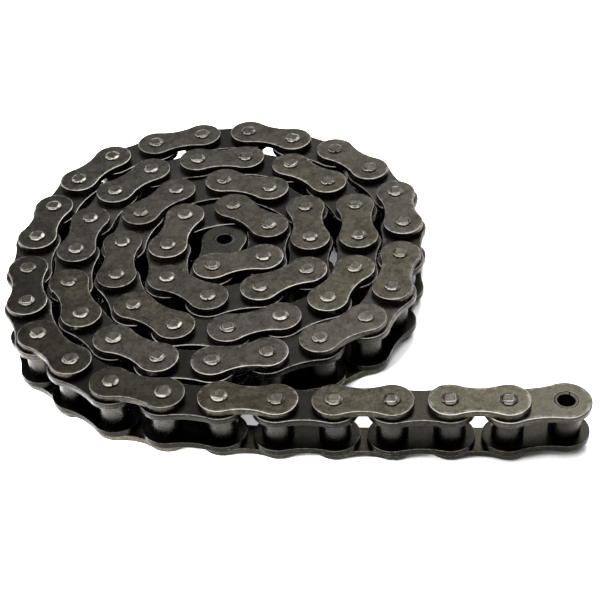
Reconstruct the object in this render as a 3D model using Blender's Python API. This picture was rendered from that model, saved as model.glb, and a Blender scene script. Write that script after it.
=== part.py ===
"""Roller chain lying on its side in a flat coil, with a straight free end.

One length of heavy single-strand roller chain, 44.45 mm pitch, 69 pitches
(about 3.07 m), laid flat so that every pin stands upright.  It is wound from
the inside out, tight against itself, for about four turns, and its outer end
runs off straight along +X in front of the coil.

Frame: metres, +Z up, z = 0 is the floor that the lower pin ends stand on, the
origin is under the middle of the chain's bounding box.
"""

import math

import bmesh
import bpy
import numpy as np
from mathutils import Matrix

for old in list(bpy.data.objects):
    bpy.data.objects.remove(old, do_unlink=True)

MM = 0.001

# ---------------------------------------------------------------- link sizes
PITCH = 44.45 * MM            # pin centre to pin centre
ROLLER_R = 12.7 * MM          # roller, outside
ROLLER_BORE_R = 9.7 * MM
BUSH_R = 9.3 * MM             # bush, outside
BUSH_BORE_R = 6.7 * MM
PIN_R = 6.35 * MM
PIN_HEAD_R = 6.75 * MM        # riveted end, spread a little
INNER_WIDTH = 25.22 * MM      # between the two inner plates
PLATE_T = 5.6 * MM            # thickness of all plates
SIDE_GAP = 0.5 * MM           # between an inner and an outer plate
PIN_STAND = 2.1 * MM          # how far a riveted end stands off the plate
INNER_END_R = 20.0 * MM       # rounded ends of the inner plates
INNER_WAIST = 17.0 * MM       # half height of the inner plates at mid length
OUTER_END_R = 17.45 * MM
OUTER_WAIST = 13.3 * MM
FIT = 0.3 * MM                # clearance between separate pieces

# levels, from the floor up
Z_OUT_LO = PIN_STAND
Z_IN_LO = Z_OUT_LO + PLATE_T + SIDE_GAP
Z_ROLL_LO = Z_IN_LO + PLATE_T
Z_ROLL_HI = Z_ROLL_LO + INNER_WIDTH
Z_IN_HI = Z_ROLL_HI
Z_OUT_HI = Z_IN_HI + PLATE_T + SIDE_GAP
Z_TOP = Z_OUT_HI + PLATE_T + PIN_STAND

# ------------------------------------------------------------ how it is laid
PITCHES = 69                  # inner links are the even ones, outer the odd
START_HEADING = -102.2        # degrees, direction of the innermost link
START_BENDS = (112.9, 72.1, 51.3, 59.4, 57.6)   # the curl in the middle
TOUCH_GAP = 0.42 * MM         # between plates of neighbouring turns
# every further link is swung inwards until it meets the turn before; these
# few links were left that many degrees short of tight
SLACK = {9: 2.5, 17: 5.0, 19: 4.0, 20: 1.5, 21: 2.0, 22: 1.5, 24: 2.0,
         25: 5.0, 29: 3.5, 30: 2.0, 31: 3.5, 32: 1.5, 35: 4.5, 39: 5.5,
         46: 2.5, 47: 8.5, 49: 2.0, 51: 2.5, 55: 2.0}
FIRST_FREE = 61               # from this link on the chain leaves the coil
FREE_HEADINGS = (-21.0, -10.4, -9.1, -5.7, -5.4, -4.3, -5.2, 2.4)

RUN = 4                       # pitches in each length of the coiled part
COIL_PITCHES = 64             # the rest is the free end, piece by piece


# ================================================================= the lay
def heading_vector(angle):
    return np.array([math.cos(angle), math.sin(angle)])


def waist_arc(length, end_r, waist):
    """Radius of the hollow side of a plate, and the angle at which it meets
    the round end, seen from the end's centre."""
    half = length / 2
    r = (half * half + waist * waist - end_r * end_r) / (2 * (end_r - waist))
    return r, math.atan2(waist + r, half)


def plate_distance(points, a, b, end_r, waist):
    """Signed distance of points from the edge of a plate on pins a and b."""
    along = b - a
    length = math.hypot(along[0], along[1])
    along = along / length
    across = np.array([-along[1], along[0]])
    q = points - (a + b) / 2
    x, y = np.abs(q @ along), np.abs(q @ across)
    r, _ = waist_arc(length, end_r, waist)
    in_waist = -(length / 2) * y - (waist + r) * (x - length / 2) > 0
    return np.where(
        in_waist,
        r - np.hypot(x, y - (waist + r)),
        np.hypot(x - length / 2, y) - end_r,
    )


ROUND = np.array(
    [(math.cos(t), math.sin(t)) for t in np.linspace(0, 2 * math.pi, 72, endpoint=False)]
)


def edge_points(a, b, end_r, waist):
    """Points all round the edge of a plate, for the clearance test."""
    along = (b - a) / PITCH
    across = np.array([-along[1], along[0]])
    r, meet = waist_arc(PITCH, end_r, waist)
    t = np.linspace(-math.pi + meet, -meet, 9)
    x = (PITCH / 2 + r * np.cos(t))[:, None] * along
    y = (waist + r + r * np.sin(t))[:, None] * across
    return np.concatenate([a + end_r * ROUND, b + end_r * ROUND, a + x + y, a + x - y])


def size_of(link):
    if link % 2 == 0:
        return INNER_END_R, INNER_WAIST
    return OUTER_END_R, OUTER_WAIST


def link_clearance(link, a, b, pins):
    """Smallest gap between this link's plates and the like plates before."""
    end_r, waist = size_of(link)
    mine = edge_points(a, b, end_r, waist)
    middle = (a + b) / 2
    gap = 1.0
    for j in range(link % 2, link - 1, 2):
        c, d = pins[j], pins[j + 1]
        if np.hypot(*((c + d) / 2 - middle)) > 2.1 * PITCH:
            continue
        gap = min(
            gap,
            plate_distance(mine, c, d, end_r, waist).min(),
            plate_distance(edge_points(c, d, end_r, waist), a, b, end_r, waist).min(),
        )
    return gap


def end_clearance(link, b, pins):
    """Gap left for the round end of the inner plates that follow on pin b."""
    gap = 1.0
    for j in range(0, link - 1, 2):
        c, d = pins[j], pins[j + 1]
        if np.hypot(*((c + d) / 2 - b)) > 1.6 * PITCH:
            continue
        reach = plate_distance(b[None], c, d, INNER_END_R, INNER_WAIST).min()
        gap = min(gap, reach - INNER_END_R)
    return gap


def clears(link, heading, pins):
    a = pins[-1]
    b = a + PITCH * heading_vector(heading)
    if link_clearance(link, a, b, pins) < TOUCH_GAP:
        return False
    return link % 2 == 0 or end_clearance(link, b, pins) >= TOUCH_GAP


def lay_chain():
    """Centres of the open end, every pin, and the other open end."""
    heading = math.radians(START_HEADING)
    pins = [np.zeros(2)]
    for bend in (0.0,) + START_BENDS:
        heading += math.radians(bend)
        pins.append(pins[-1] + PITCH * heading_vector(heading))
    step = math.radians(2.0)
    while len(pins) <= FIRST_FREE:
        link = len(pins) - 1
        swing, tight = math.radians(-40.0), None
        while swing < math.radians(125.0):
            if clears(link, heading + swing, pins):
                tight = swing
            elif tight is not None:
                break
            swing += step
        low, high = tight, tight + step
        for _ in range(14):
            middle = (low + high) / 2
            if clears(link, heading + middle, pins):
                low = middle
            else:
                high = middle
        heading += low - math.radians(SLACK.get(link, 0.0))
        pins.append(pins[-1] + PITCH * heading_vector(heading))
    for degrees in FREE_HEADINGS:
        pins.append(pins[-1] + PITCH * heading_vector(math.radians(degrees)))
    return np.array(pins)


# ============================================================ solid builders
def outline(a, b, end_r, waist, end_steps, waist_steps):
    """Edge of a plate on pins a and b, anticlockwise: two round ends joined
    by two hollow sides, whose corners lie a little deep so that the straight
    stretches between them don't stand out of the true curve."""
    along = (b - a) / PITCH
    across = np.array([-along[1], along[0]])
    r, meet = waist_arc(PITCH, end_r, waist)
    deep = r + r * (1 - math.cos((math.pi / 2 - meet) / waist_steps))
    local = []
    for i in range(end_steps + 1):
        t = meet + (2 * math.pi - 2 * meet) * i / end_steps
        local.append((end_r * math.cos(t), end_r * math.sin(t)))
    for i in range(1, waist_steps):
        t = math.pi - meet - (math.pi - 2 * meet) * i / waist_steps
        local.append((PITCH / 2 + deep * math.cos(t), -(waist + r) + deep * math.sin(t)))
    for i in range(end_steps + 1):
        t = -math.pi + meet + (2 * math.pi - 2 * meet) * i / end_steps
        local.append((PITCH + end_r * math.cos(t), end_r * math.sin(t)))
    for i in range(1, waist_steps):
        t = -meet - (math.pi - 2 * meet) * i / waist_steps
        local.append((PITCH / 2 + deep * math.cos(t), waist + r + deep * math.sin(t)))
    return [a + x * along + y * across for x, y in local]


def link_outline(link, pins):
    """Plate edge of a link, plainer in the coil than on the free end."""
    end_r, waist = size_of(link)
    steps = (5, 2) if link < COIL_PITCHES else (8, 4)
    return outline(pins[link], pins[link + 1], end_r, waist, *steps)


def centred(pins):
    """The lay moved so that the middle of its plan is the origin."""
    edges = np.concatenate([link_outline(link, pins) for link in range(PITCHES)])
    return pins - (edges.min(axis=0) + edges.max(axis=0)) / 2


def circle(centre, radius, sides, turn=0.0):
    return [
        centre + radius * heading_vector(turn + 2 * math.pi * i / sides)
        for i in range(sides)
    ]


def add_prism(bm, loop, z_low, z_high):
    low = [bm.verts.new((p[0], p[1], z_low)) for p in loop]
    high = [bm.verts.new((p[0], p[1], z_high)) for p in loop]
    n = len(loop)
    for i in range(n):
        j = (i + 1) % n
        bm.faces.new((low[i], low[j], high[j], high[i]))
    bm.faces.new(high)
    bm.faces.new(list(reversed(low)))


def add_turned(bm, centre, rings, sides, closed):
    """Turned solid from (radius, z) rings; closed joins the last to the first
    for a tube, otherwise both ends are capped."""
    rows = []
    for radius, z in rings:
        rows.append(
            [bm.verts.new((p[0], p[1], z)) for p in circle(centre, radius, sides)]
        )
    pairs = list(zip(rows, rows[1:]))
    if closed:
        pairs.append((rows[-1], rows[0]))
    for lower, upper in pairs:
        for i in range(sides):
            j = (i + 1) % sides
            bm.faces.new((lower[i], lower[j], upper[j], upper[i]))
    if not closed:
        bm.faces.new(rows[-1])
        bm.faces.new(list(reversed(rows[0])))


def finish_mesh(bm, name):
    bmesh.ops.recalc_face_normals(bm, faces=bm.faces)
    mesh = bpy.data.meshes.new(name)
    bm.to_mesh(mesh)
    bm.free()
    return mesh


def add_object(name, mesh):
    obj = bpy.data.objects.new(name, mesh)
    bpy.context.scene.collection.objects.link(obj)
    return obj


def combined(obj, other, operation):
    """The exact Boolean of two objects, as a new mesh on the first one."""
    cut = obj.modifiers.new("combine", "BOOLEAN")
    cut.operation = operation
    cut.solver = "EXACT"
    cut.object = other
    bpy.context.view_layer.update()
    result = bpy.data.meshes.new_from_object(
        obj.evaluated_get(bpy.context.evaluated_depsgraph_get())
    )
    obj.modifiers.remove(cut)
    obj.data = result
    bpy.data.objects.remove(other, do_unlink=True)


def material(name, colour, roughness, metallic):
    made = bpy.data.materials.new(name)
    made.use_nodes = True
    shader = made.node_tree.nodes["Principled BSDF"]
    shader.inputs["Base Color"].default_value = (*colour, 1.0)
    shader.inputs["Roughness"].default_value = roughness
    shader.inputs["Metallic"].default_value = metallic
    return made


def dress(obj, colour, roughness, metallic=0.9):
    obj.data.name = obj.name
    obj.data.materials.clear()
    obj.data.materials.append(material(obj.name, colour, roughness, metallic))
    obj.data.shade_smooth()
    obj.data.set_sharp_from_angle(angle=math.radians(50))


STEEL_OUTER = (0.115, 0.108, 0.098)
STEEL_INNER = (0.098, 0.093, 0.090)
STEEL_ROLLER = (0.150, 0.147, 0.145)
STEEL_BUSH = (0.140, 0.136, 0.130)
STEEL_PIN = (0.270, 0.262, 0.245)


# ============================================================ the coiled part
def coil_run(name, pins, first):
    """Four pitches of the coil as one body: two inner and two outer links on
    shared pin and roller columns, with the side gaps between the plates."""
    last = first + RUN
    plates = bmesh.new()
    for link in range(first, last):
        loop = link_outline(link, pins)
        for z in (Z_IN_LO, Z_IN_HI) if link % 2 == 0 else (Z_OUT_LO, Z_OUT_HI):
            add_prism(plates, loop, z, z + PLATE_T)
    obj = add_object(name, finish_mesh(plates, name))

    rods = bmesh.new()
    for k in range(first + 1, last + 1):
        if k < last:
            loop = circle(pins[k], PIN_HEAD_R, 8)
        else:
            loop = circle(pins[k], PIN_R, 12 if last == COIL_PITCHES else 8)
        add_prism(rods, loop, 0.0, Z_TOP)
    combined(obj, add_object("rods", finish_mesh(rods, "rods")), "UNION")

    rollers = bmesh.new()
    for k in range(first, last):
        add_prism(
            rollers,
            circle(pins[k], ROLLER_R, 8, math.radians(22.5)),
            Z_ROLL_LO - PLATE_T / 2,
            Z_ROLL_HI + PLATE_T / 2,
        )
    combined(obj, add_object("rollers", finish_mesh(rollers, "rollers")), "UNION")

    bore = bmesh.new()
    add_prism(bore, circle(pins[first], BUSH_BORE_R + 0.2 * MM, 10), -0.01, Z_TOP + 0.01)
    combined(obj, add_object("bore", finish_mesh(bore, "bore")), "DIFFERENCE")
    dress(obj, STEEL_OUTER, 0.45)
    return obj


# ============================================ the free end, piece by piece
def drilled_plate(name, link, pins, hole_r, z):
    bm = bmesh.new()
    add_prism(bm, link_outline(link, pins), z, z + PLATE_T)
    obj = add_object(name, finish_mesh(bm, name))
    drills = bmesh.new()
    for centre in (pins[link], pins[link + 1]):
        add_prism(drills, circle(centre, hole_r, 12), z - 0.005, z + PLATE_T + 0.005)
    combined(obj, add_object("drills", finish_mesh(drills, "drills")), "DIFFERENCE")
    return obj


def set_origin(obj, centre):
    """Move an object's origin to a pin axis, leaving the piece where it is."""
    obj.data.transform(Matrix.Translation((-centre[0], -centre[1], 0.0)))
    obj.location = (centre[0], centre[1], 0.0)


def tube(name, centre, outer_r, bore_r, z_low, z_high):
    bm = bmesh.new()
    rings = [(outer_r, z_low), (outer_r, z_high), (bore_r, z_high), (bore_r, z_low)]
    add_turned(bm, centre, rings, 12, True)
    return add_object(name, finish_mesh(bm, name))


def riveted_pin(name, centre):
    bm = bmesh.new()
    head = PIN_STAND - FIT
    rings = [
        (PIN_HEAD_R - 0.8 * MM, 0.0),
        (PIN_HEAD_R, 0.7 * MM),
        (PIN_HEAD_R, head),
        (PIN_R, head),
        (PIN_R, Z_TOP - head),
        (PIN_HEAD_R, Z_TOP - head),
        (PIN_HEAD_R, Z_TOP - 0.7 * MM),
        (PIN_HEAD_R - 0.8 * MM, Z_TOP),
    ]
    add_turned(bm, centre, rings, 12, False)
    return add_object(name, finish_mesh(bm, name))


def inner_link(tag, link, pins):
    a, b = pins[link], pins[link + 1]
    for side, z in (("lower", Z_IN_LO), ("upper", Z_IN_HI)):
        plate = drilled_plate(f"{tag}_plate_{side}", link, pins, BUSH_R + 0.4 * MM, z)
        set_origin(plate, a)
        dress(plate, STEEL_INNER, 0.42)
    for end, centre in (("a", a), ("b", b)):
        bush = tube(
            f"{tag}_bush_{end}", centre, BUSH_R, BUSH_BORE_R, Z_IN_LO, Z_IN_HI + PLATE_T
        )
        set_origin(bush, centre)
        dress(bush, STEEL_BUSH, 0.35)
        roller = tube(
            f"{tag}_roller_{end}",
            centre,
            ROLLER_R,
            ROLLER_BORE_R + 0.1 * MM,
            Z_ROLL_LO + FIT,
            Z_ROLL_HI - FIT,
        )
        set_origin(roller, centre)
        dress(roller, STEEL_ROLLER, 0.32)


def outer_link(tag, link, pins):
    a, b = pins[link], pins[link + 1]
    for side, z in (("lower", Z_OUT_LO), ("upper", Z_OUT_HI)):
        plate = drilled_plate(f"{tag}_plate_{side}", link, pins, PIN_R + 0.4 * MM, z)
        set_origin(plate, a)
        dress(plate, STEEL_OUTER, 0.45)
    for end, centre in (("a", a), ("b", b)):
        pin = riveted_pin(f"{tag}_pin_{end}", centre)
        set_origin(pin, centre)
        dress(pin, STEEL_PIN, 0.3)


# ==================================================================== build
pins = centred(lay_chain())

for number in range(COIL_PITCHES // RUN):
    coil_run(f"coil_run_{number + 1:02d}", pins, number * RUN)

for link in range(COIL_PITCHES, PITCHES):
    tag = f"tail_link_{link - COIL_PITCHES + 1}"
    if link % 2 == 0:
        inner_link(tag, link, pins)
    else:
        outer_link(tag, link, pins)
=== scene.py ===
"""Looks of the roller chain that lies on its side in a flat coil."""

import math
import random

import bpy
import numpy as np
from mathutils import Matrix, Vector
from mathutils.geometry import tessellate_polygon


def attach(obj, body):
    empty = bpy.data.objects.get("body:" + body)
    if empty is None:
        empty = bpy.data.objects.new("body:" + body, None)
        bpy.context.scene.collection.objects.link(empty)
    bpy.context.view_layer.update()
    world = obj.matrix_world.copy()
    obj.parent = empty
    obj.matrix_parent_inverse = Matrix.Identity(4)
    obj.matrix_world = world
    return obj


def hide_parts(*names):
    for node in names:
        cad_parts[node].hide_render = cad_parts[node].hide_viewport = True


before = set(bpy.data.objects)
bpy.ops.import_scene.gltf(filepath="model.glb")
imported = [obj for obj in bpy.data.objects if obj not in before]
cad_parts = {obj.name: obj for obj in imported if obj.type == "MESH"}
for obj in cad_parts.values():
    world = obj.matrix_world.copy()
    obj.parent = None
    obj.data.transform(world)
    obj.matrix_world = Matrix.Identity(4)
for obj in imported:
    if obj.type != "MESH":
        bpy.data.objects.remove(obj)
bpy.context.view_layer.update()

MM = 0.001

# ---------------------------------------------------------------- link sizes
PITCH = 44.45 * MM
ROLLER_R = 12.7 * MM
ROLLER_BORE_R = 9.75 * MM
BUSH_R = 9.3 * MM
BUSH_BORE_R = 6.7 * MM
PIN_R = 6.35 * MM
PIN_HEAD_R = 7.0 * MM
INNER_WIDTH = 25.22 * MM
PLATE_T = 5.6 * MM
SIDE_GAP = 0.5 * MM
PIN_STAND = 2.1 * MM
INNER_END_R = 20.0 * MM
INNER_WAIST = 17.0 * MM
OUTER_END_R = 17.45 * MM
OUTER_WAIST = 13.3 * MM

Z_OUT_LO = PIN_STAND
Z_IN_LO = Z_OUT_LO + PLATE_T + SIDE_GAP
Z_ROLL_LO = Z_IN_LO + PLATE_T
Z_ROLL_HI = Z_ROLL_LO + INNER_WIDTH
Z_IN_HI = Z_ROLL_HI
Z_OUT_HI = Z_IN_HI + PLATE_T + SIDE_GAP
Z_TOP = Z_OUT_HI + PLATE_T + PIN_STAND

# ------------------------------------------------------- how the chain is laid
PITCHES = 69
START_HEADING = -102.2
START_BENDS = (112.9, 72.1, 51.3, 59.4, 57.6)
TOUCH_GAP = 0.42 * MM
SLACK = {9: 2.5, 17: 5.0, 19: 4.0, 20: 1.5, 21: 2.0, 22: 1.5, 24: 2.0,
         25: 5.0, 29: 3.5, 30: 2.0, 31: 3.5, 32: 1.5, 35: 4.5, 39: 5.5,
         46: 2.5, 47: 8.5, 49: 2.0, 51: 2.5, 55: 2.0}
FIRST_FREE = 61
FREE_HEADINGS = (-21.0, -10.4, -9.1, -5.7, -5.4, -4.3, -5.2, 2.4)
RUN = 4
COIL_PITCHES = 64


# ================================================================= the lay
def heading_vector(angle):
    return np.array([math.cos(angle), math.sin(angle)])


def waist_arc(length, end_r, waist):
    half = length / 2
    r = (half * half + waist * waist - end_r * end_r) / (2 * (end_r - waist))
    return r, math.atan2(waist + r, half)


def plate_distance(points, a, b, end_r, waist):
    along = b - a
    length = math.hypot(along[0], along[1])
    along = along / length
    across = np.array([-along[1], along[0]])
    q = points - (a + b) / 2
    x, y = np.abs(q @ along), np.abs(q @ across)
    r, _ = waist_arc(length, end_r, waist)
    in_waist = -(length / 2) * y - (waist + r) * (x - length / 2) > 0
    return np.where(
        in_waist,
        r - np.hypot(x, y - (waist + r)),
        np.hypot(x - length / 2, y) - end_r,
    )


ROUND = np.array(
    [(math.cos(t), math.sin(t)) for t in np.linspace(0, 2 * math.pi, 72, endpoint=False)]
)


def edge_points(a, b, end_r, waist):
    along = (b - a) / PITCH
    across = np.array([-along[1], along[0]])
    r, meet = waist_arc(PITCH, end_r, waist)
    t = np.linspace(-math.pi + meet, -meet, 9)
    x = (PITCH / 2 + r * np.cos(t))[:, None] * along
    y = (waist + r + r * np.sin(t))[:, None] * across
    return np.concatenate([a + end_r * ROUND, b + end_r * ROUND, a + x + y, a + x - y])


def size_of(link):
    if link % 2 == 0:
        return INNER_END_R, INNER_WAIST
    return OUTER_END_R, OUTER_WAIST


def link_clearance(link, a, b, pins):
    end_r, waist = size_of(link)
    mine = edge_points(a, b, end_r, waist)
    middle = (a + b) / 2
    gap = 1.0
    for j in range(link % 2, link - 1, 2):
        c, d = pins[j], pins[j + 1]
        if np.hypot(*((c + d) / 2 - middle)) > 2.1 * PITCH:
            continue
        gap = min(
            gap,
            plate_distance(mine, c, d, end_r, waist).min(),
            plate_distance(edge_points(c, d, end_r, waist), a, b, end_r, waist).min(),
        )
    return gap


def end_clearance(link, b, pins):
    gap = 1.0
    for j in range(0, link - 1, 2):
        c, d = pins[j], pins[j + 1]
        if np.hypot(*((c + d) / 2 - b)) > 1.6 * PITCH:
            continue
        reach = plate_distance(b[None], c, d, INNER_END_R, INNER_WAIST).min()
        gap = min(gap, reach - INNER_END_R)
    return gap


def clears(link, heading, pins):
    a = pins[-1]
    b = a + PITCH * heading_vector(heading)
    if link_clearance(link, a, b, pins) < TOUCH_GAP:
        return False
    return link % 2 == 0 or end_clearance(link, b, pins) >= TOUCH_GAP


def lay_chain():
    heading = math.radians(START_HEADING)
    pins = [np.zeros(2)]
    for bend in (0.0,) + START_BENDS:
        heading += math.radians(bend)
        pins.append(pins[-1] + PITCH * heading_vector(heading))
    step = math.radians(2.0)
    while len(pins) <= FIRST_FREE:
        link = len(pins) - 1
        swing, tight = math.radians(-40.0), None
        while swing < math.radians(125.0):
            if clears(link, heading + swing, pins):
                tight = swing
            elif tight is not None:
                break
            swing += step
        low, high = tight, tight + step
        for _ in range(14):
            middle = (low + high) / 2
            if clears(link, heading + middle, pins):
                low = middle
            else:
                high = middle
        heading += low - math.radians(SLACK.get(link, 0.0))
        pins.append(pins[-1] + PITCH * heading_vector(heading))
    for degrees in FREE_HEADINGS:
        pins.append(pins[-1] + PITCH * heading_vector(math.radians(degrees)))
    return np.array(pins)


def outline(a, b, end_r, waist, end_steps, waist_steps):
    along = (b - a) / PITCH
    across = np.array([-along[1], along[0]])
    r, meet = waist_arc(PITCH, end_r, waist)
    deep = r + r * (1 - math.cos((math.pi / 2 - meet) / waist_steps))
    local = []
    for i in range(end_steps + 1):
        t = meet + (2 * math.pi - 2 * meet) * i / end_steps
        local.append((end_r * math.cos(t), end_r * math.sin(t)))
    for i in range(1, waist_steps):
        t = math.pi - meet - (math.pi - 2 * meet) * i / waist_steps
        local.append((PITCH / 2 + deep * math.cos(t), -(waist + r) + deep * math.sin(t)))
    for i in range(end_steps + 1):
        t = -math.pi + meet + (2 * math.pi - 2 * meet) * i / end_steps
        local.append((PITCH + end_r * math.cos(t), end_r * math.sin(t)))
    for i in range(1, waist_steps):
        t = -meet - (math.pi - 2 * meet) * i / waist_steps
        local.append((PITCH / 2 + deep * math.cos(t), waist + r + deep * math.sin(t)))
    return [a + x * along + y * across for x, y in local]


def centred(pins):
    edges = []
    for link in range(PITCHES):
        steps = (5, 2) if link < COIL_PITCHES else (8, 4)
        edges += outline(pins[link], pins[link + 1], *size_of(link), *steps)
    edges = np.array(edges)
    return pins - (edges.min(axis=0) + edges.max(axis=0)) / 2


PINS = centred(lay_chain())


# ========================================================== building meshes
class Shape:
    """Points, faces and painted values of one kind of piece in its own frame."""

    def __init__(self):
        self.points, self.faces, self.wear = [], [], []
        self.hollow_shade, self.soil_and_shade = [], []

    def ring(self, pts, z, wear=0.0, hollow_shade=0.0, soil_and_shade=0.0):
        start = len(self.points)
        heights = z if hasattr(z, "__len__") else [z] * len(pts)
        wears = wear if hasattr(wear, "__len__") else [wear] * len(pts)
        for p, h, w in zip(pts, heights, wears):
            self.points.append((p[0], p[1], h))
            self.wear.append(w)
            self.hollow_shade.append(hollow_shade)
            self.soil_and_shade.append(soil_and_shade)
        return start

    def bridge(self, low, high, n):
        for i in range(n):
            j = (i + 1) % n
            self.faces.append((low + i, low + j, high + j, high + i))

    def fill(self, loops, up):
        """Flat face between an outer loop and holes; loops are (start, n)."""
        index = [s + i for s, n in loops for i in range(n)]
        polys = [[Vector(self.points[s + i]) for i in range(n)] for s, n in loops]
        for tri in tessellate_polygon(polys):
            a, b, c = (index[i] for i in tri)
            pa, pb, pc = (np.array(self.points[i][:2]) for i in (a, b, c))
            u, v = pb - pa, pc - pa
            turn = u[0] * v[1] - u[1] * v[0]
            if abs(turn) < 1e-14:
                continue
            self.faces.append((a, b, c) if (turn > 0) == up else (a, c, b))

    def done(self):
        self.points = np.array(self.points)
        self.wear = np.array(self.wear)
        self.hollow_shade = np.array(self.hollow_shade)
        self.soil_and_shade = np.array(self.soil_and_shade)
        return self


class Piece:
    """Gathers placed shapes into one mesh with painted values."""

    def __init__(self):
        self.points, self.faces, self.local, self.values = [], [], [], []
        self.count = 0

    def place(self, shape, at, angle, z=0.0, seed=0.0, tone=0.5, warp=None, soil_and_shade=0.0,
              worn=1.0):
        c, s = math.cos(angle), math.sin(angle)
        p = shape.points
        moved = np.empty_like(p)
        moved[:, 0] = at[0] + c * p[:, 0] - s * p[:, 1]
        moved[:, 1] = at[1] + s * p[:, 0] + c * p[:, 1]
        moved[:, 2] = z + p[:, 2]
        if warp is not None:
            moved[:, 2] += warp(p)
        self.points.append(moved)
        own = p.copy()
        own[:, 0] += 0.31 * seed
        own[:, 1] += 0.17 * seed
        own[:, 2] += 0.23 * seed
        self.local.append(own)
        n = len(p)
        self.values.append(
            np.stack([shape.wear * worn, np.full(n, tone), shape.hollow_shade,
                      np.maximum(shape.soil_and_shade, soil_and_shade)], axis=1)
        )
        k = self.count
        self.faces += [tuple(i + k for i in f) for f in shape.faces]
        self.count += n

    def build(self, name, material, sharp=38):
        mesh = bpy.data.meshes.new(name)
        points = np.concatenate(self.points)
        mesh.from_pydata(points.tolist(), [], self.faces)
        local = np.concatenate(self.local).astype(np.float32)
        values = np.concatenate(self.values).astype(np.float32)
        own = mesh.attributes.new("own", "FLOAT_VECTOR", "POINT")
        own.data.foreach_set("vector", local.ravel())
        for i, label in enumerate(("wear", "tone", "hollow_shade", "soil_and_shade")):
            layer = mesh.attributes.new(label, "FLOAT", "POINT")
            layer.data.foreach_set("value", np.ascontiguousarray(values[:, i]))
        mesh.materials.append(material)
        mesh.shade_smooth()
        mesh.set_sharp_from_angle(angle=math.radians(sharp))
        mesh.update()
        obj = bpy.data.objects.new(name, mesh)
        bpy.context.scene.collection.objects.link(obj)
        return obj


def plate_loop(end_r, waist, inset, end_steps, waist_steps):
    a, b = np.zeros(2), np.array([PITCH, 0.0])
    return outline(a, b, end_r - inset, waist - inset, end_steps, waist_steps)


def round_loop(x, y, r, n):
    return [(x + r * math.cos(2 * math.pi * i / n), y + r * math.sin(2 * math.pi * i / n))
            for i in range(n)]


def plate_shape(end_r, waist, hole_r, face_side):
    """A blanked plate: rolled-over edge on the face side, sharper edge and
    a slightly drawn-in break on the other, drilled holes with a small lead. The
    lower plates, seen by their edges only, have fewer points round them."""
    s = Shape()
    steps, m = ((26, 12), 48) if face_side == "up" else ((20, 10), 32)
    wide, deep, burr, seg = 1.25 * MM, 0.85 * MM, 0.3 * MM, 4
    rows = []
    rows.append((2.4 * MM, 0.0, 0.0))
    for i in range(seg):
        t = math.pi / 2 * i / (seg - 1)
        rows.append((0.18 * MM + burr * (1 - math.sin(t)), burr * (1 - math.cos(t)),
                     0.85 * math.sin(2 * t) + 0.15))
    rows.append((0.12 * MM, PLATE_T * 0.30, 0.05))
    rows.append((0.10 * MM, PLATE_T * 0.40, 0.12))
    rows.append((0.0, PLATE_T * 0.46, 0.30))
    rows.append((0.0, PLATE_T - deep - 1.3 * MM, 0.10))
    rows.append((0.0, PLATE_T - deep - 0.35 * MM, 0.05))
    seg = 7
    for i in range(seg):
        t = math.pi / 2 * i / (seg - 1)
        rows.append((wide * (1 - math.cos(t)), PLATE_T - deep + (deep - 0.045 * MM) * math.sin(t),
                     0.06 + 0.94 * math.exp(-((math.degrees(t) - 55) / 24) ** 2)))
    rows.append((wide + 0.35 * MM, PLATE_T - 0.028 * MM, 0.26))
    rows.append((wide + 1.6 * MM, PLATE_T - 0.010 * MM, 0.18))
    rows.append((wide + 4.0 * MM, PLATE_T, 0.0))
    if face_side == "down":
        rows = [(d, PLATE_T - z, w) for d, z, w in reversed(rows)]
    starts, n = [], 0
    for d, z, w in rows:
        loop = plate_loop(end_r, waist, d, *steps)
        n = len(loop)
        starts.append(s.ring(loop, z, w))
    for lo, hi in zip(starts, starts[1:]):
        s.bridge(lo, hi, n)
    bottoms, tops = [(starts[0], n)], [(starts[-1], n)]
    lead = 0.14 * MM
    for x in (0.0, PITCH):
        outer_low = s.ring(round_loop(x, 0, hole_r + 1.6 * MM, m), 0.0)
        low = s.ring(round_loop(x, 0, hole_r + lead, m), 0.0, 0.3)
        # painted shade: the hole walls get hollow_shade 1.0, so they read dark
        low_in = s.ring(round_loop(x, 0, hole_r, m), lead, 0.3, 1.0)
        high_in = s.ring(round_loop(x, 0, hole_r, m), PLATE_T - lead, 0.3, 1.0)
        high = s.ring(round_loop(x, 0, hole_r + lead, m), PLATE_T, 0.3)
        outer_high = s.ring(round_loop(x, 0, hole_r + 1.6 * MM, m), PLATE_T)
        for p, q in ((outer_low, low), (low, low_in), (low_in, high_in),
                     (high_in, high), (high, outer_high)):
            s.bridge(q, p, m)
        bottoms.append((outer_low, m))
        tops.append((outer_high, m))
    s.fill(bottoms, False)
    s.fill(tops, True)
    return s.done()


def turned_shape(rings, n, closed=True):
    """A turned piece from (radius, z, wear, hollow_shade) rows going up the outside
    and down the bore; hollow_shade is painted shade, and a fifth value, where given, is
    soil_and_shade."""
    s = Shape()
    starts = [s.ring(round_loop(0, 0, r, n), z, w, h, *rest) for r, z, w, h, *rest in rings]
    for lo, hi in zip(starts, starts[1:]):
        s.bridge(lo, hi, n)
    if closed:
        s.bridge(starts[-1], starts[0], n)
    return s.done()


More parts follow.
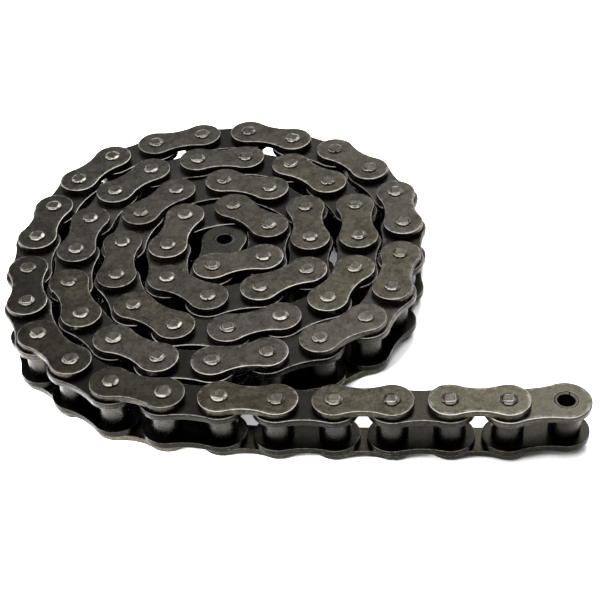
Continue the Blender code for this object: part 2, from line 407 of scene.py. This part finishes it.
def roller_shape():
    """A turned roller, rounded at both rims; painted shade through soil_and_shade darkens its
    lower half towards the bottom.
    """
    c = 0.8 * MM
    lo, hi = 0.22 * MM, INNER_WIDTH - 0.22 * MM
    # the fifth value is soil_and_shade: painted shade, full on the lower rows and in the bore,
    # fading out just above mid height
    rows = [(ROLLER_BORE_R + 0.6 * MM, lo, 0.1, 0.3, 1.0), (ROLLER_R - c, lo, 0.2, 0.0, 1.0)]
    for i in (1, 2):
        t = math.pi / 2 * i / 3
        rows.append((ROLLER_R - c + c * math.sin(t), lo + c * (1 - math.cos(t)), 0.3, 0.0, 1.0))
    rows += [(ROLLER_R, lo + c, 0.15, 0.0, 1.0), (ROLLER_R, lo + 2.6 * MM, 0.0, 0.0, 1.0),
             (ROLLER_R, lo + 6.5 * MM, 0.0, 0.0, 1.0), (ROLLER_R, lo + 9.5 * MM, 0.0, 0.0, 0.55),
             (ROLLER_R, lo + 12.5 * MM, 0.0, 0.0, 0.1), (ROLLER_R, lo + 15.0 * MM, 0.0, 0.0, 0.0),
             (ROLLER_R, hi - 2.6 * MM, 0.0, 0.0, 0.0), (ROLLER_R, hi - c, 0.2, 0.0, 0.0)]
    for i in (1, 2):
        t = math.pi / 2 * i / 3
        rows.append((ROLLER_R - c + c * math.cos(t), hi - c + c * math.sin(t), 0.6, 0.0, 0.0))
    rows += [(ROLLER_R - c, hi, 0.4, 0.0, 0.0), (ROLLER_BORE_R + 0.6 * MM, hi, 0.1, 0.3, 0.3),
             (ROLLER_BORE_R, hi - 0.6 * MM, 0.0, 1.0, 1.0),
             (ROLLER_BORE_R, lo + 0.6 * MM, 0.0, 1.0, 1.0)]
    return turned_shape(rows, 48)


def bush_shape(n):
    """A bush curled from strip: its seam shows as a notch in both end faces."""
    lo, hi = 0.0, INNER_WIDTH + 2 * PLATE_T
    c, e = 0.22 * MM, 0.55 * MM
    rows = [(BUSH_BORE_R + e, lo, 0.2, 0.0), (BUSH_R - c, lo, 0.2, 0.0),
            (BUSH_R - 0.3 * c, lo + 0.3 * c, 0.4, 0.0), (BUSH_R, lo + c, 0.1, 0.3),
            (BUSH_R, hi - c, 0.1, 0.3), (BUSH_R - 0.3 * c, hi - 0.3 * c, 0.4, 0.0),
            (BUSH_R - c, hi, 0.15, 0.0), (BUSH_BORE_R + 1.2 * e, hi, 0.05, 0.0),
            (BUSH_BORE_R + 0.7 * e, hi - 0.10 * e, 0.3, 0.0),
            (BUSH_BORE_R + 0.25 * e, hi - 0.45 * e, 0.7, 0.0),
            (BUSH_BORE_R, hi - e, 0.4, 0.3), (BUSH_BORE_R, hi - 1.3 * MM, 0.1, 1.0),
            (BUSH_BORE_R, lo + 1.3 * MM, 0.1, 1.0), (BUSH_BORE_R, lo + e, 0.4, 0.3),
            (BUSH_BORE_R + 0.3 * e, lo + 0.3 * e, 1.0, 0.0)]
    s = turned_shape(rows, n)
    for i in range(0, len(s.points), n):
        x, y, z = s.points[i]
        end = 1 if z > hi - 0.7 * MM else -1 if z < lo + 0.7 * MM else 0
        if end:
            open_up = 0.45 * MM if math.hypot(x, y) < BUSH_BORE_R + e else 0.0
            s.points[i] = (x + open_up, y, z - end * 0.8 * MM)
            # painted shade in the seam notch (hollow_shade 1.0), with no wear
            s.wear[i], s.hollow_shade[i] = 0.0, 1.0
    return s


def pin_shape(rng, outlined=False):
    """A pin with both ends riveted over by a four-sided tool: a flat squared
    top, four sloping flats whose lobes bulge at the rim, a nick between two."""
    s = Shape()
    n = 72

    def head():
        half = rng.uniform(4.0, 4.5) * MM - (0.55 * MM if outlined else 0.0)
        flats = [(math.pi / 2 * k + rng.uniform(-0.07, 0.07),
                  half + rng.uniform(-0.35, 0.35) * MM) for k in range(4)]
        nicks = [(math.pi / 4 + math.pi / 2 * k + rng.uniform(-0.1, 0.1),
                  rng.choice((0.25, 0.45, 0.7, 0.95)) * MM) for k in range(4)]
        off = (rng.uniform(-0.35, 0.35), rng.uniform(-0.35, 0.35))
        rim, edge = [], []
        for i in range(n):
            t = 2 * math.pi * i / n
            r = PIN_HEAD_R
            for at, deep in nicks:
                away = math.atan2(math.sin(t - at), math.cos(t - at))
                r -= deep * math.exp(-(away / 0.13) ** 2)
            rim.append(r)
            square = min(
                d / max(0.2, math.cos(math.atan2(math.sin(t - at), math.cos(t - at))))
                for at, d in flats
            )
            edge.append(min(square, 5.55 * MM, r - 0.45 * MM))
        for _ in range(2):
            edge = [(edge[i - 1] + 2 * edge[i] + edge[(i + 1) % n]) / 4 for i in range(n)]
        return rim, edge, off

    def loop(radii, off=(0.0, 0.0)):
        return [(off[0] * MM + r * math.cos(2 * math.pi * i / n),
                 off[1] * MM + r * math.sin(2 * math.pi * i / n))
                for i, r in enumerate(radii)]

    def between(edge, rim, share):
        return [e + share * (r - e) for e, r in zip(edge, rim)]

    low_rim, low_edge, low_off = head()
    high_rim, high_edge, high_off = head()
    rows = []        # (radii, offset, depth below the end, wear, hollow_shade)

    def add_head(rim, edge, off):
        corner, facet = rng.uniform(0.25, 0.95), rng.uniform(0.05, 0.7)
        # painted shade: on the outlined heads the sloping flats and the rim are darkened through
        # hollow_shade, so the top reads as a square with a dark outline
        outline_shade = 0.0
        if outlined:
            corner, facet, outline_shade = 0.9, 0.05, 0.75
        rows.append(([0.35 * r for r in edge], off, 0.07 * MM, 0.10, 0.0))
        rows.append(([0.74 * r for r in edge], off, 0.03 * MM, 0.12, 0.0))
        rows.append(([r - 0.34 * MM for r in edge], off, 0.0, 0.3 * corner, 0.0))
        rows.append(([r - 0.08 * MM for r in edge], off, 0.05 * MM, corner, 0.0))
        rows.append(([r + 0.16 * MM for r in edge], off, 0.18 * MM, 0.8 * corner, 0.0))
        for share in (0.35, 0.65, 0.88):
            part = (off[0] * (1 - share), off[1] * (1 - share))
            rows.append((between(edge, rim, share), part,
                         (0.18 + 0.34 * share + 0.58 * share ** 2) * MM,
                         facet + (0.9 - facet) * share ** 2, outline_shade * share))
        rows.append((rim, (0.0, 0.0), 1.30 * MM, 0.8, outline_shade))
        # painted shade under the rim of the head and down the shank
        rows.append(([r - 0.12 * MM for r in rim], (0.0, 0.0), 1.75 * MM, 0.1, 0.35))
        rows.append(([PIN_R - 0.1 * MM] * n, (0.0, 0.0), 2.2 * MM, 0.0, 1.0))

    add_head(low_rim, low_edge, low_off)
    starts = [s.ring(loop(radii, off), depth, wear, hollow_shade)
              for radii, off, depth, wear, hollow_shade in rows]
    rows = []
    add_head(high_rim, high_edge, high_off)
    starts += [s.ring(loop(radii, off), Z_TOP - depth, wear, hollow_shade)
               for radii, off, depth, wear, hollow_shade in reversed(rows)]
    for lo, hi in zip(starts, starts[1:]):
        s.bridge(lo, hi, n)
    s.fill([(starts[0], n)], False)
    s.fill([(starts[-1], n)], True)
    return s.done()


# =============================================================== materials
def new_material(name):
    mat = bpy.data.materials.new(name)
    mat.use_nodes = True
    nodes = mat.node_tree.nodes
    return mat, nodes, mat.node_tree.links, nodes["Principled BSDF"]


def steel(name, dark, light, rim, rough, metallic, bump, rim_rough=0.3, edge_gain=1.0,
          grime=0.35, scratch=0.35, spec=0.5, turned=False,
          soil_and_shade_tint=(0.52, 0.50, 0.46), own_cast=0.55):
    """Worn blackened steel. Every pattern runs in the piece's own coordinates."""
    mat, nodes, links, shader = new_material(name)

    def node(kind, **inputs):
        made = nodes.new(kind)
        for key, value in inputs.items():
            made.inputs[key].default_value = value
        return made

    def attribute(label, socket):
        made = nodes.new("ShaderNodeAttribute")
        made.attribute_name = label
        return made.outputs[socket]

    def noise(scale, detail, rough=0.55, stretch=(1, 1, 1), turn=(0, 0, 0), distort=0.0):
        place = nodes.new("ShaderNodeMapping")
        place.inputs["Scale"].default_value = stretch
        place.inputs["Rotation"].default_value = turn
        links.new(own, place.inputs["Vector"])
        made = nodes.new("ShaderNodeTexNoise")
        made.inputs["Scale"].default_value = scale
        made.inputs["Detail"].default_value = detail
        made.inputs["Roughness"].default_value = rough
        made.inputs["Distortion"].default_value = distort
        links.new(place.outputs["Vector"], made.inputs["Vector"])
        return made.outputs["Fac"]

    def spread(source, low, high, to_low=0.0, to_high=1.0):
        made = nodes.new("ShaderNodeMapRange")
        made.inputs["From Min"].default_value = low
        made.inputs["From Max"].default_value = high
        made.inputs["To Min"].default_value = to_low
        made.inputs["To Max"].default_value = to_high
        links.new(source, made.inputs["Value"])
        return made.outputs["Result"]

    def math_node(kind, a, b=None, clamp=False):
        made = nodes.new("ShaderNodeMath")
        made.operation = kind
        made.use_clamp = clamp
        for i, value in enumerate((a, b)):
            if value is None:
                continue
            if isinstance(value, (int, float)):
                made.inputs[i].default_value = value
            else:
                links.new(value, made.inputs[i])
        return made.outputs[0]

    def mix(factor, a, b):
        made = nodes.new("ShaderNodeMix")
        made.data_type = "RGBA"
        for socket, value in ((0, factor), (6, a), (7, b)):
            if isinstance(value, tuple):
                made.inputs[socket].default_value = (*value, 1.0)
            elif isinstance(value, (int, float)):
                made.inputs[socket].default_value = value
            else:
                links.new(value, made.inputs[socket])
        return made.outputs[2]

    own = attribute("own", "Vector")
    wear = attribute("wear", "Fac")
    tone = attribute("tone", "Fac")
    hollow_shade = attribute("hollow_shade", "Fac")
    soil_and_shade = attribute("soil_and_shade", "Fac")

    cloud = noise(70, 3.0, 0.6, distort=0.4)
    patch = noise(210, 4.0, 0.65)
    fleck = noise(560, 3.0, 0.6)
    grain = noise(1500, 4.0, 0.7)
    lines_a = noise(60, 3.0, 0.6, stretch=(1.0, 38.0, 1.0), turn=(0, 0, 0.5))
    lines_b = noise(75, 3.0, 0.6, stretch=(34.0, 1.0, 1.0), turn=(0, 0, 0.25))

    shade = math_node("ADD", math_node("MULTIPLY", spread(cloud, 0.40, 0.60), 0.26),
                      math_node("MULTIPLY", spread(patch, 0.41, 0.59), 0.30))
    shade = math_node("ADD", shade, math_node("MULTIPLY", spread(fleck, 0.41, 0.59), 0.30))
    shade = math_node("ADD", shade, math_node("MULTIPLY", spread(grain, 0.38, 0.62), 0.14))
    shade = math_node("ADD", math_node("MULTIPLY", shade, 0.84),
                      math_node("MULTIPLY", tone, 0.16), clamp=True)
    colour = mix(shade, dark, light)
    # every piece has its own cast, from olive to a cool brown
    cast = math_node("FRACT", math_node("MULTIPLY", tone, 5.7))
    tinted = nodes.new("ShaderNodeMix")
    tinted.data_type = "RGBA"
    tinted.blend_type = "MULTIPLY"
    tinted.inputs[0].default_value = own_cast
    links.new(colour, tinted.inputs[6])
    links.new(mix(cast, (1.04, 1.03, 0.88), (0.99, 0.97, 1.10)), tinted.inputs[7])
    colour = tinted.outputs[2]

    # oily brown film in soft patches, broken up by smaller ones
    film = math_node("ADD", math_node("MULTIPLY", noise(45, 2.0, 0.5, distort=0.8), 0.5),
                     math_node("MULTIPLY", noise(170, 3.0, 0.6, distort=0.5), 0.5))
    film = spread(film, 0.49, 0.62, 0.0, grime)
    colour = mix(film, colour, tuple(c * f for c, f in zip(dark, (1.25, 1.0, 0.62))))

    # painted shade mixed with old oil and dust, where soil_and_shade is set: the recessed inner
    # plates, the lower plates and the lower halves of the rollers
    soil_shade_mask = math_node("MULTIPLY", soil_and_shade, spread(patch, 0.2, 0.8, 0.75, 1.0))
    colour = mix(soil_shade_mask, colour, tuple(c * f for c, f in zip(dark, soil_and_shade_tint)))

    # fine bright scratches
    marks = math_node("MULTIPLY", spread(lines_a, 0.66, 0.74), spread(patch, 0.45, 0.6))
    marks = math_node("ADD", marks,
                      math_node("MULTIPLY", spread(lines_b, 0.67, 0.75), spread(cloud, 0.5, 0.62)),
                      clamp=True)
    marks = math_node("MULTIPLY", marks, scratch)
    specks = math_node("MULTIPLY", spread(grain, 0.66, 0.74), scratch * 0.7)
    colour = mix(math_node("MAXIMUM", marks, specks), colour, rim)

    # bare, rubbed edges, broken up by the grain of the surface
    rub = math_node("ADD", math_node("MULTIPLY", wear, 1.15 * edge_gain),
                    math_node("MULTIPLY", math_node("SUBTRACT", patch, 0.5), 1.25))
    rub = spread(rub, 0.24, 1.12)
    rub = math_node("MULTIPLY", rub, spread(wear, 0.02, 0.25))
    colour = mix(rub, colour, rim)
    # painted shade: where hollow_shade is set (bores, hole walls, the bush seam notch, under the
    # pin heads) the colour goes to near black
    colour = mix(math_node("MULTIPLY", hollow_shade, 0.85), colour, (0.012, 0.011, 0.010))
    links.new(colour, shader.inputs["Base Color"])

    roughness = math_node("ADD", spread(patch, 0.25, 0.75, rough - 0.09, rough + 0.11),
                          math_node("MULTIPLY", math_node("SUBTRACT", cloud, 0.5), 0.22))
    roughness = math_node("SUBTRACT", roughness,
                          math_node("MULTIPLY", rub, rough - rim_rough), clamp=True)
    links.new(roughness, shader.inputs["Roughness"])
    shader.inputs["Metallic"].default_value = metallic
    shader.inputs["Specular IOR Level"].default_value = spec

    relief = math_node("ADD", math_node("MULTIPLY", grain, 0.35),
                       math_node("MULTIPLY", patch, 0.8))
    relief = math_node("ADD", relief, math_node("MULTIPLY", cloud, 1.6))
    dents = nodes.new("ShaderNodeTexVoronoi")
    dents.feature = "SMOOTH_F1"
    dents.inputs["Scale"].default_value = 190
    dents.inputs["Smoothness"].default_value = 0.4
    links.new(own, dents.inputs["Vector"])
    pits = spread(dents.outputs["Distance"], 0.10, 0.0, 0.0, -1.0)
    relief = math_node("ADD", relief, pits)
    relief = math_node("SUBTRACT", relief, math_node("MULTIPLY", marks, 1.2))
    if turned:
        rings = noise(420, 2.0, 0.5, stretch=(0.05, 0.05, 3.0))
        relief = math_node("ADD", relief, math_node("MULTIPLY", rings, 0.5))
    lift = nodes.new("ShaderNodeBump")
    lift.inputs["Strength"].default_value = bump
    lift.inputs["Distance"].default_value = 0.00012
    links.new(relief, lift.inputs["Height"])
    links.new(lift.outputs["Normal"], shader.inputs["Normal"])
    return mat


OUTER = steel("plate_outer", (0.0110, 0.0098, 0.0076), (0.0730, 0.0671, 0.0530),
              (0.275, 0.262, 0.233), 0.32, 1.0, 0.22, rim_rough=0.27, edge_gain=0.92,
              soil_and_shade_tint=(0.60, 0.56, 0.40), grime=0.5)
INNER = steel("plate_inner", (0.0130, 0.0120, 0.0097), (0.0620, 0.0577, 0.0470),
              (0.235, 0.227, 0.203), 0.31, 1.0, 0.22, rim_rough=0.28, edge_gain=0.88,
              soil_and_shade_tint=(0.42, 0.42, 0.42))
ROLLER = steel("roller_steel", (0.0190, 0.0181, 0.0165), (0.0450, 0.0428, 0.0388),
               (0.13, 0.125, 0.115), 0.30, 1.0, 0.05, grime=0.3, scratch=0.12, turned=True,
               soil_and_shade_tint=(0.22, 0.21, 0.20), own_cast=0.3)
BUSH = steel("bush_steel", (0.0180, 0.0165, 0.0135), (0.0560, 0.0515, 0.0420),
             (0.24, 0.225, 0.195), 0.31, 1.0, 0.2, grime=0.25, scratch=0.25,
             edge_gain=0.8, turned=True, own_cast=0.2)
PIN = steel("pin_steel", (0.0240, 0.0218, 0.0176), (0.0900, 0.0835, 0.0690),
            (0.35, 0.335, 0.295), 0.31, 1.0, 0.4, rim_rough=0.25, grime=0.4, scratch=0.4,
            edge_gain=0.85, own_cast=0.2)


# ============================================================ the pieces
OUTER_UP = plate_shape(OUTER_END_R, OUTER_WAIST, PIN_R + 0.3 * MM, "up")
OUTER_DOWN = plate_shape(OUTER_END_R, OUTER_WAIST, PIN_R + 0.3 * MM, "down")
INNER_UP = plate_shape(INNER_END_R, INNER_WAIST, BUSH_R + 0.2 * MM, "up")
INNER_DOWN = plate_shape(INNER_END_R, INNER_WAIST, BUSH_R + 0.2 * MM, "down")
ROLLER_SHAPE = roller_shape()
OPEN_BUSH, HIDDEN_BUSH = bush_shape(96), bush_shape(48)

chance = random.Random(41)


def bowed(amount):
    """A plate is never quite flat: it bows by a few hundredths."""
    a, b = chance.uniform(-amount, amount), chance.uniform(-amount, amount)
    return lambda p: a * (p[:, 0] / PITCH - 0.5) + b * p[:, 1] / OUTER_END_R


def angle_of(link):
    d = PINS[link + 1] - PINS[link]
    return math.atan2(d[1], d[0])


# how far each upper plate is darkened by soil_and_shade: painted shade mixed with oil and dust
UPPER_SOIL_AND_SHADE = {55: 0.25, 57: 0.60, 59: 0.55, 61: 0.50, 63: 0.22, 39: 0.15,
        0: 0.5, 4: 0.75, 6: 0.05, 8: 0.75, 14: 0.6, 16: 0.0, 18: 0.6, 20: 0.7,
        24: 0.7, 26: 0.85, 30: 0.4, 32: 0.0, 34: 0.45, 36: 0.75, 40: 0.85, 42: 0.4,
        46: 0.4, 48: 0.55, 52: 0.55, 54: 0.45, 56: 0.25, 58: 0.7, 66: 0.65, 68: 0.0}


def soil_and_shade_of(link, up):
    """Painted shade mixed with oil and dust: the lower inner plates, the lower outer plates
    from link 63 on, the recessed upper inner plates and a few outer ones; the last link less."""
    if up:
        return UPPER_SOIL_AND_SHADE.get(link, 0.0 if link % 2 else 1.0)
    if link % 2:
        return 0.6 if link > 61 else 0.0
    return 0.75 if link == PITCHES - 1 else 1.0


def add_plate(piece, link, z, up):
    shapes = {(0, True): INNER_UP, (0, False): INNER_DOWN,
              (1, True): OUTER_UP, (1, False): OUTER_DOWN}
    shape = shapes[(link % 2, up)]
    at, angle = PINS[link], angle_of(link)
    if chance.random() < 0.5:
        at, angle = PINS[link + 1], angle + math.pi
    worn = chance.uniform(0.62, 1.12)
    if up and link >= PITCHES - 2:
        worn = 1.3
    piece.place(shape, at, angle, z, chance.uniform(0, 40), chance.random(),
                bowed(0.03 * MM), soil_and_shade_of(link, up), worn)


def add_roller(piece, k):
    piece.place(ROLLER_SHAPE, PINS[k], chance.uniform(0, 6.28), Z_ROLL_LO,
                chance.uniform(0, 40), chance.random())


def add_bush(piece, k):
    turn = math.radians(63) if k == PITCHES else chance.uniform(0, 6.28)
    piece.place(OPEN_BUSH if k in (0, PITCHES) else HIDDEN_BUSH, PINS[k], turn, Z_IN_LO,
                chance.uniform(0, 40), chance.random(), worn=0.4 if k == 0 else 1.0)


def add_pin(piece, k, link):
    turn = math.pi / 2 * chance.randrange(4) + chance.gauss(0, 0.07)
    piece.place(pin_shape(chance, k > PITCHES - 4), PINS[k], angle_of(link) + turn, 0.0,
                chance.uniform(0, 40), chance.random())


def put(piece, name, material, body, *nodes, sharp=38):
    obj = piece.build(name, material, sharp)
    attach(obj, body)
    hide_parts(*nodes)
    return obj


for run in range(COIL_PITCHES // RUN):
    first = run * RUN
    node, tag = f"coil_run_{run + 1:02d}", f"coil_{run + 1:02d}"
    outer, inner, rollers, bushes, held = (Piece() for _ in range(5))
    for link in range(first, first + RUN):
        if link % 2 == 0:
            add_plate(inner, link, Z_IN_LO, False)
            add_plate(inner, link, Z_IN_HI, True)
            for k in (link, link + 1):
                add_roller(rollers, k)
                add_bush(bushes, k)
        else:
            add_plate(outer, link, Z_OUT_LO, False)
            add_plate(outer, link, Z_OUT_HI, True)
            for k in (link, link + 1):
                add_pin(held, k, link)
    put(inner, f"{tag}_inner_plates", INNER, "coil", node)
    put(outer, f"{tag}_outer_plates", OUTER, "coil", node)
    put(rollers, f"{tag}_rollers", ROLLER, "coil", node)
    put(bushes, f"{tag}_bushes", BUSH, "coil", node)
    put(held, f"{tag}_pins", PIN, "coil", node, sharp=24)

for link in range(COIL_PITCHES, PITCHES):
    number = link - COIL_PITCHES + 1
    tag, body = f"tail_link_{number}", f"tail_link_{number}"
    sides = (("lower", False), ("upper", True))
    for side, up in sides:
        z = {("lower", 0): Z_IN_LO, ("upper", 0): Z_IN_HI,
             ("lower", 1): Z_OUT_LO, ("upper", 1): Z_OUT_HI}[(side, link % 2)]
        piece = Piece()
        add_plate(piece, link, z, up)
        put(piece, f"free_{number}_plate_{side}", INNER if link % 2 == 0 else OUTER,
            body, f"{tag}_plate_{side}")
    for end, k in (("a", link), ("b", link + 1)):
        if link % 2 == 0:
            piece = Piece()
            add_bush(piece, k)
            put(piece, f"free_{number}_bush_{end}", BUSH, body, f"{tag}_bush_{end}")
            piece = Piece()
            add_roller(piece, k)
            put(piece, f"free_{number}_roller_{end}", ROLLER,
                f"tail_roller_{k - COIL_PITCHES + 1}", f"{tag}_roller_{end}")
        else:
            piece = Piece()
            add_pin(piece, k, link)
            put(piece, f"free_{number}_pin_{end}", PIN, body, f"{tag}_pin_{end}", sharp=24)


# ===================================================== camera, floor, light
ORIGIN = Vector((0.0156, -0.0630, Z_TOP))      # the point that the view is centred on
ELEVATION, ROLL = math.radians(40.072), math.radians(-3.436)
DISTANCE = 28.6065 * PITCH
back = Vector((0.0, -math.cos(ELEVATION), math.sin(ELEVATION)))
right = Vector((1.0, 0.0, 0.0))
up = Vector((0.0, math.sin(ELEVATION), math.cos(ELEVATION)))
side = math.cos(ROLL) * right + math.sin(ROLL) * up
over = -math.sin(ROLL) * right + math.cos(ROLL) * up
data = bpy.data.cameras.new("camera")
data.sensor_width = 36.0
data.lens = 1543.514 / 600 * 36.0
data.clip_start, data.clip_end = 0.05, 20.0
camera = bpy.data.objects.new("camera", data)
bpy.context.scene.collection.objects.link(camera)
camera.matrix_world = Matrix((
    (side.x, over.x, back.x, (ORIGIN + DISTANCE * back).x),
    (side.y, over.y, back.y, (ORIGIN + DISTANCE * back).y),
    (side.z, over.z, back.z, (ORIGIN + DISTANCE * back).z),
    (0, 0, 0, 1),
))
bpy.context.scene.camera = camera

mesh = bpy.data.meshes.new("floor")
reach = 6.0
mesh.from_pydata([(-reach, -reach, 0), (reach, -reach, 0), (reach, reach, 0),
                  (-reach, reach, 0)], [], [(0, 1, 2, 3)])
floor = bpy.data.objects.new("floor", mesh)
bpy.context.scene.collection.objects.link(floor)
mat, nodes, links, shader = new_material("floor_white")
shader.inputs["Base Color"].default_value = (0.93, 0.93, 0.93, 1)
shader.inputs["Roughness"].default_value = 0.9
shader.inputs["Specular IOR Level"].default_value = 0.1
mesh.materials.append(mat)

world = bpy.data.worlds.new("studio")
bpy.context.scene.world = world
world.use_nodes = True
sky, links = world.node_tree.nodes, world.node_tree.links
place = sky.new("ShaderNodeTexCoord")
split = sky.new("ShaderNodeSeparateXYZ")
links.new(place.outputs["Generated"], split.inputs[0])


def sky_ramp(axis, low, high, to_low, to_high, kind="SMOOTHSTEP"):
    made = sky.new("ShaderNodeMapRange")
    made.interpolation_type = kind
    for label, value in (("From Min", low), ("From Max", high),
                         ("To Min", to_low), ("To Max", to_high)):
        made.inputs[label].default_value = value
    links.new(split.outputs[axis], made.inputs["Value"])
    return made.outputs["Result"]


def sky_math(kind, a, b):
    made = sky.new("ShaderNodeMath")
    made.operation = kind
    for i, value in enumerate((a, b)):
        if isinstance(value, (int, float)):
            made.inputs[i].default_value = value
        else:
            links.new(value, made.inputs[i])
    return made.outputs[0]


# a pale, cool room that darkens upwards, a large soft panel behind and above the
# object that grows brighter to the right, and a weaker one on the left
panel = sky_math("MULTIPLY", sky_ramp("Y", 0.20, 0.60, 0.0, 1.0),
                 sky_ramp("Z", 0.38, 0.70, 0.0, 1.0))
panel = sky_math("MULTIPLY", panel, sky_ramp("Z", 0.88, 0.98, 1.0, 0.0))
panel = sky_math("MULTIPLY", panel, sky_ramp("Z", 0.70, 0.82, 1.0, 1.35))
across = sky_math("ADD", sky_ramp("X", -0.28, 0.34, 0.42, 5.1, "LINEAR"),
                  sky_ramp("X", 0.09, 0.21, 0.0, 4.5))
across = sky_math("MULTIPLY", across, sky_ramp("X", 0.24, 0.44, 1.0, 0.12))
panel = sky_math("MULTIPLY", panel, across)
second = sky_math("MULTIPLY", sky_ramp("X", -0.70, -0.36, 3.6, 0.0),
                  sky_math("MULTIPLY", sky_ramp("Z", 0.30, 0.55, 0.0, 1.0),
                           sky_ramp("Y", -0.6, -0.2, 0.0, 1.0)))
panel = sky_math("ADD", panel, second)
room = sky_math("ADD", sky_ramp("Z", 0.05, 0.32, 0.62, 0.0), 0.16)
whole = sky.new("ShaderNodeCombineXYZ")
for axis, share in (("X", 0.97), ("Y", 0.98), ("Z", 1.05)):
    links.new(sky_math("ADD", sky_math("MULTIPLY", room, share), panel),
              whole.inputs[axis])
links.new(whole.outputs[0], sky["Background"].inputs["Color"])
sky["Background"].inputs["Strength"].default_value = 1.0


def area(name, at, target, size, power, colour=(1, 1, 1)):
    light = bpy.data.lights.new(name, "AREA")
    light.shape = "RECTANGLE"
    light.size, light.size_y = size
    light.energy = power
    light.color = colour
    obj = bpy.data.objects.new(name, light)
    bpy.context.scene.collection.objects.link(obj)
    obj.location = at
    obj.rotation_mode = "QUATERNION"
    obj.rotation_quaternion = (Vector(at) - Vector(target)).to_track_quat("Z", "Y")
    return obj


area("overhead", (0.0, -0.40, 1.9), (0, -0.1, 0), (2.3, 1.7), 50.0)
for name, at, target, size, power, spread in (
        ("wash_left", (-0.50, -0.50, 0.45), (-0.27, -0.22, 0), (0.3, 0.3), 4.2, 58),
        ("wash_back", (0.10, 1.30, 1.10), (0.05, -0.15, 0), (1.2, 0.6), 60.0, 180)):
    wash = area(name, at, target, size, power)
    wash.visible_glossy = False
    wash.data.spread = math.radians(spread)

bpy.context.scene.view_settings.view_transform = "Standard"
